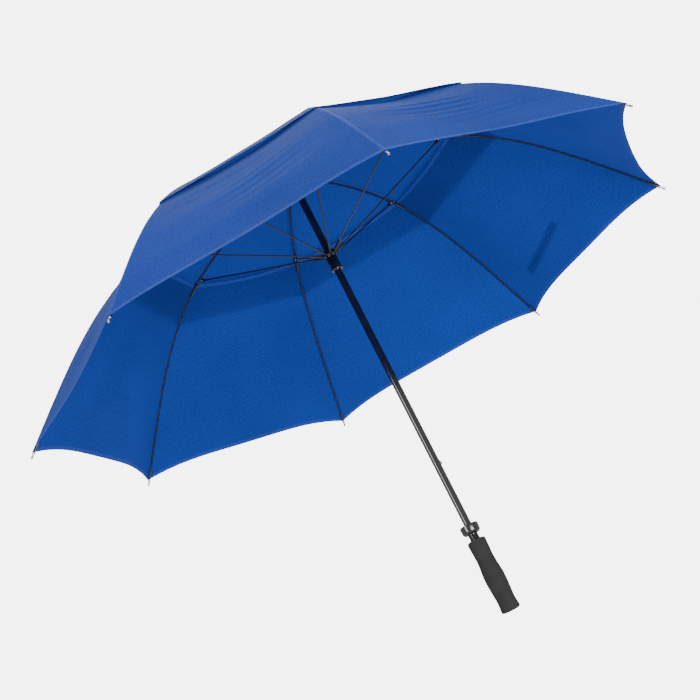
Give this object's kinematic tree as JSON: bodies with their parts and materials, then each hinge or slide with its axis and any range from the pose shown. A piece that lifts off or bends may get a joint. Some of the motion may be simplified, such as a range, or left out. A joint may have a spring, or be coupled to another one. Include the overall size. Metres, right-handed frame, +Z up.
{
  "type": "golf umbrella",
  "caption": "Open long-shaft umbrella with a vented double canopy of panels on hinged ribs, a sliding runner with stretchers, a tip cup and a contoured foam grip.",
  "frame": {"origin": "centre of the grip's end face, on the shaft's axis", "axes": "+Z up the shaft towards the canopy; +X along the first rib"},
  "size_m": [1.302, 1.302, 0.9844],
  "materials": {
    "canopy_fabric": "smooth water-repellent woven polyester, slightly translucent",
    "tie_strap": "doubled canopy cloth with a hook-and-loop patch",
    "frame_black": "black enamelled steel wire and channel",
    "shaft_black": "glossy black coating",
    "plastic_black": "glossy moulded black plastic",
    "tip_nickel": "nickel plated",
    "grip_foam": "matt closed-cell foam",
    "spring_wire": "bare spring steel"
  },
  "bodies": {
    "shaft": {"shaft": "shaft_black", "crown": "plastic_black", "canopy_cap": "plastic_black", "ferrule": "plastic_black", "grip": "grip_foam", "tip_cup": "plastic_black", "stopper_pin": "spring_wire"},
    "runner": {"runner": "plastic_black"},
    "top_spring": {"top_spring": "spring_wire"},
    "bottom_spring": {"bottom_spring": "spring_wire"},
    "rib_inner_1": {"rib_inner_1": "frame_black", "top_canopy_1": "canopy_fabric"},
    "rib_outer_1": {"rib_outer_1": "frame_black", "rib_tip_1": "tip_nickel", "lower_canopy_1": "canopy_fabric"},
    "stretcher_1": {"stretcher_1": "frame_black"},
    "rib_inner_2": {"rib_inner_2": "frame_black", "top_canopy_2": "canopy_fabric"},
    "rib_outer_2": {"rib_outer_2": "frame_black", "rib_tip_2": "tip_nickel", "lower_canopy_2": "canopy_fabric", "tie_strap": "tie_strap"},
    "stretcher_2": {"stretcher_2": "frame_black"},
    "rib_inner_3": {"rib_inner_3": "frame_black", "top_canopy_3": "canopy_fabric"},
    "rib_outer_3": {"rib_outer_3": "frame_black", "rib_tip_3": "tip_nickel", "lower_canopy_3": "canopy_fabric"},
    "stretcher_3": {"stretcher_3": "frame_black"},
    "rib_inner_4": {"rib_inner_4": "frame_black", "top_canopy_4": "canopy_fabric"},
    "rib_outer_4": {"rib_outer_4": "frame_black", "rib_tip_4": "tip_nickel", "lower_canopy_4": "canopy_fabric"},
    "stretcher_4": {"stretcher_4": "frame_black"},
    "rib_inner_5": {"rib_inner_5": "frame_black", "top_canopy_5": "canopy_fabric"},
    "rib_outer_5": {"rib_outer_5": "frame_black", "rib_tip_5": "tip_nickel", "lower_canopy_5": "canopy_fabric"},
    "stretcher_5": {"stretcher_5": "frame_black"},
    "rib_inner_6": {"rib_inner_6": "frame_black", "top_canopy_6": "canopy_fabric"},
    "rib_outer_6": {"rib_outer_6": "frame_black", "rib_tip_6": "tip_nickel", "lower_canopy_6": "canopy_fabric"},
    "stretcher_6": {"stretcher_6": "frame_black"},
    "rib_inner_7": {"rib_inner_7": "frame_black", "top_canopy_7": "canopy_fabric"},
    "rib_outer_7": {"rib_outer_7": "frame_black", "rib_tip_7": "tip_nickel", "lower_canopy_7": "canopy_fabric"},
    "stretcher_7": {"stretcher_7": "frame_black"},
    "rib_inner_8": {"rib_inner_8": "frame_black", "top_canopy_8": "canopy_fabric"},
    "rib_outer_8": {"rib_outer_8": "frame_black", "rib_tip_8": "tip_nickel", "lower_canopy_8": "canopy_fabric"},
    "stretcher_8": {"stretcher_8": "frame_black"}
  },
  "joints": [
    {"name": "runner_slide", "type": "slide", "parent": "shaft", "child": "runner", "axis": [0, 0, -1], "range_m": [0, 0.4237], "deforming": ["top_canopy_1", "lower_canopy_1", "top_canopy_2", "lower_canopy_2", "top_canopy_3", "lower_canopy_3", "top_canopy_4", "lower_canopy_4", "top_canopy_5", "lower_canopy_5", "top_canopy_6", "lower_canopy_6", "top_canopy_7", "lower_canopy_7", "top_canopy_8", "lower_canopy_8", "tie_strap", "top_spring", "bottom_spring"]},
    {"name": "top_spring_press", "type": "hinge", "parent": "shaft", "child": "top_spring", "pos_m": [0.00397, -0.00165, 0.6315], "axis": [0.3827, 0.9239, 0], "range_deg": [-3.2, 0], "stiffness_Nm_per_rad": 2},
    {"name": "bottom_spring_press", "type": "hinge", "parent": "shaft", "child": "bottom_spring", "pos_m": [0.00397, -0.00165, 0.226], "axis": [0.3827, 0.9239, 0], "range_deg": [-3.2, 0], "stiffness_Nm_per_rad": 2},
    {"name": "rib_hinge_1", "type": "hinge", "parent": "shaft", "child": "rib_inner_1", "pos_m": [0.011, 0, 0.9145], "axis": [0, 1, 0], "range_deg": [0, 79.96]},
    {"name": "rib_flex_1", "type": "hinge", "parent": "rib_inner_1", "child": "rib_outer_1", "pos_m": [0.307, 0, 0.87513], "axis": [0, 1, 0], "range_deg": [-27.42, 0]},
    {"name": "stretcher_hinge_1", "type": "hinge", "parent": "rib_inner_1", "child": "stretcher_1", "pos_m": [0.29474, 0, 0.87203], "axis": [0, 1, 0], "range_deg": [-143.53, 0]},
    {"name": "rib_hinge_2", "type": "hinge", "parent": "shaft", "child": "rib_inner_2", "pos_m": [0.00778, 0.00778, 0.9145], "axis": [-0.7071, 0.7071, 0], "range_deg": [0, 79.96]},
    {"name": "rib_flex_2", "type": "hinge", "parent": "rib_inner_2", "child": "rib_outer_2", "pos_m": [0.21708, 0.21708, 0.87513], "axis": [-0.7071, 0.7071, 0], "range_deg": [-27.42, 0]},
    {"name": "stretcher_hinge_2", "type": "hinge", "parent": "rib_inner_2", "child": "stretcher_2", "pos_m": [0.20841, 0.20841, 0.87203], "axis": [-0.7071, 0.7071, 0], "range_deg": [-143.53, 0]},
    {"name": "rib_hinge_3", "type": "hinge", "parent": "shaft", "child": "rib_inner_3", "pos_m": [0, 0.011, 0.9145], "axis": [-1, 0, 0], "range_deg": [0, 79.96]},
    {"name": "rib_flex_3", "type": "hinge", "parent": "rib_inner_3", "child": "rib_outer_3", "pos_m": [0, 0.307, 0.87513], "axis": [-1, 0, 0], "range_deg": [-27.42, 0]},
    {"name": "stretcher_hinge_3", "type": "hinge", "parent": "rib_inner_3", "child": "stretcher_3", "pos_m": [0, 0.29474, 0.87203], "axis": [-1, 0, 0], "range_deg": [-143.53, 0]},
    {"name": "rib_hinge_4", "type": "hinge", "parent": "shaft", "child": "rib_inner_4", "pos_m": [-0.00778, 0.00778, 0.9145], "axis": [-0.7071, -0.7071, 0], "range_deg": [0, 79.96]},
    {"name": "rib_flex_4", "type": "hinge", "parent": "rib_inner_4", "child": "rib_outer_4", "pos_m": [-0.21708, 0.21708, 0.87513], "axis": [-0.7071, -0.7071, 0], "range_deg": [-27.42, 0]},
    {"name": "stretcher_hinge_4", "type": "hinge", "parent": "rib_inner_4", "child": "stretcher_4", "pos_m": [-0.20841, 0.20841, 0.87203], "axis": [-0.7071, -0.7071, 0], "range_deg": [-143.53, 0]},
    {"name": "rib_hinge_5", "type": "hinge", "parent": "shaft", "child": "rib_inner_5", "pos_m": [-0.011, 0, 0.9145], "axis": [0, -1, 0], "range_deg": [0, 79.96]},
    {"name": "rib_flex_5", "type": "hinge", "parent": "rib_inner_5", "child": "rib_outer_5", "pos_m": [-0.307, 0, 0.87513], "axis": [0, -1, 0], "range_deg": [-27.42, 0]},
    {"name": "stretcher_hinge_5", "type": "hinge", "parent": "rib_inner_5", "child": "stretcher_5", "pos_m": [-0.29474, 0, 0.87203], "axis": [0, -1, 0], "range_deg": [-143.53, 0]},
    {"name": "rib_hinge_6", "type": "hinge", "parent": "shaft", "child": "rib_inner_6", "pos_m": [-0.00778, -0.00778, 0.9145], "axis": [0.7071, -0.7071, 0], "range_deg": [0, 79.96]},
    {"name": "rib_flex_6", "type": "hinge", "parent": "rib_inner_6", "child": "rib_outer_6", "pos_m": [-0.21708, -0.21708, 0.87513], "axis": [0.7071, -0.7071, 0], "range_deg": [-27.42, 0]},
    {"name": "stretcher_hinge_6", "type": "hinge", "parent": "rib_inner_6", "child": "stretcher_6", "pos_m": [-0.20841, -0.20841, 0.87203], "axis": [0.7071, -0.7071, 0], "range_deg": [-143.53, 0]},
    {"name": "rib_hinge_7", "type": "hinge", "parent": "shaft", "child": "rib_inner_7", "pos_m": [0, -0.011, 0.9145], "axis": [1, 0, 0], "range_deg": [0, 79.96]},
    {"name": "rib_flex_7", "type": "hinge", "parent": "rib_inner_7", "child": "rib_outer_7", "pos_m": [0, -0.307, 0.87513], "axis": [1, 0, 0], "range_deg": [-27.42, 0]},
    {"name": "stretcher_hinge_7", "type": "hinge", "parent": "rib_inner_7", "child": "stretcher_7", "pos_m": [0, -0.29474, 0.87203], "axis": [1, 0, 0], "range_deg": [-143.53, 0]},
    {"name": "rib_hinge_8", "type": "hinge", "parent": "shaft", "child": "rib_inner_8", "pos_m": [0.00778, -0.00778, 0.9145], "axis": [0.7071, 0.7071, 0], "range_deg": [0, 79.96]},
    {"name": "rib_flex_8", "type": "hinge", "parent": "rib_inner_8", "child": "rib_outer_8", "pos_m": [0.21708, -0.21708, 0.87513], "axis": [0.7071, 0.7071, 0], "range_deg": [-27.42, 0]},
    {"name": "stretcher_hinge_8", "type": "hinge", "parent": "rib_inner_8", "child": "stretcher_8", "pos_m": [0.20841, -0.20841, 0.87203], "axis": [0.7071, 0.7071, 0], "range_deg": [-143.53, 0]}
  ],
  "couplings": [
    {"joint": "rib_hinge_1", "follows": "runner_slide", "rad_per_m": 3.2929},
    {"joint": "rib_flex_1", "follows": "runner_slide", "rad_per_m": -1.1287},
    {"joint": "stretcher_hinge_1", "follows": "runner_slide", "rad_per_m": -5.9115},
    {"joint": "rib_hinge_2", "follows": "runner_slide", "rad_per_m": 3.2929},
    {"joint": "rib_flex_2", "follows": "runner_slide", "rad_per_m": -1.1287},
    {"joint": "stretcher_hinge_2", "follows": "runner_slide", "rad_per_m": -5.9115},
    {"joint": "rib_hinge_3", "follows": "runner_slide", "rad_per_m": 3.2929},
    {"joint": "rib_flex_3", "follows": "runner_slide", "rad_per_m": -1.1287},
    {"joint": "stretcher_hinge_3", "follows": "runner_slide", "rad_per_m": -5.9115},
    {"joint": "rib_hinge_4", "follows": "runner_slide", "rad_per_m": 3.2929},
    {"joint": "rib_flex_4", "follows": "runner_slide", "rad_per_m": -1.1287},
    {"joint": "stretcher_hinge_4", "follows": "runner_slide", "rad_per_m": -5.9115},
    {"joint": "rib_hinge_5", "follows": "runner_slide", "rad_per_m": 3.2929},
    {"joint": "rib_flex_5", "follows": "runner_slide", "rad_per_m": -1.1287},
    {"joint": "stretcher_hinge_5", "follows": "runner_slide", "rad_per_m": -5.9115},
    {"joint": "rib_hinge_6", "follows": "runner_slide", "rad_per_m": 3.2929},
    {"joint": "rib_flex_6", "follows": "runner_slide", "rad_per_m": -1.1287},
    {"joint": "stretcher_hinge_6", "follows": "runner_slide", "rad_per_m": -5.9115},
    {"joint": "rib_hinge_7", "follows": "runner_slide", "rad_per_m": 3.2929},
    {"joint": "rib_flex_7", "follows": "runner_slide", "rad_per_m": -1.1287},
    {"joint": "stretcher_hinge_7", "follows": "runner_slide", "rad_per_m": -5.9115},
    {"joint": "rib_hinge_8", "follows": "runner_slide", "rad_per_m": 3.2929},
    {"joint": "rib_flex_8", "follows": "runner_slide", "rad_per_m": -1.1287},
    {"joint": "stretcher_hinge_8", "follows": "runner_slide", "rad_per_m": -5.9115}
  ]
}
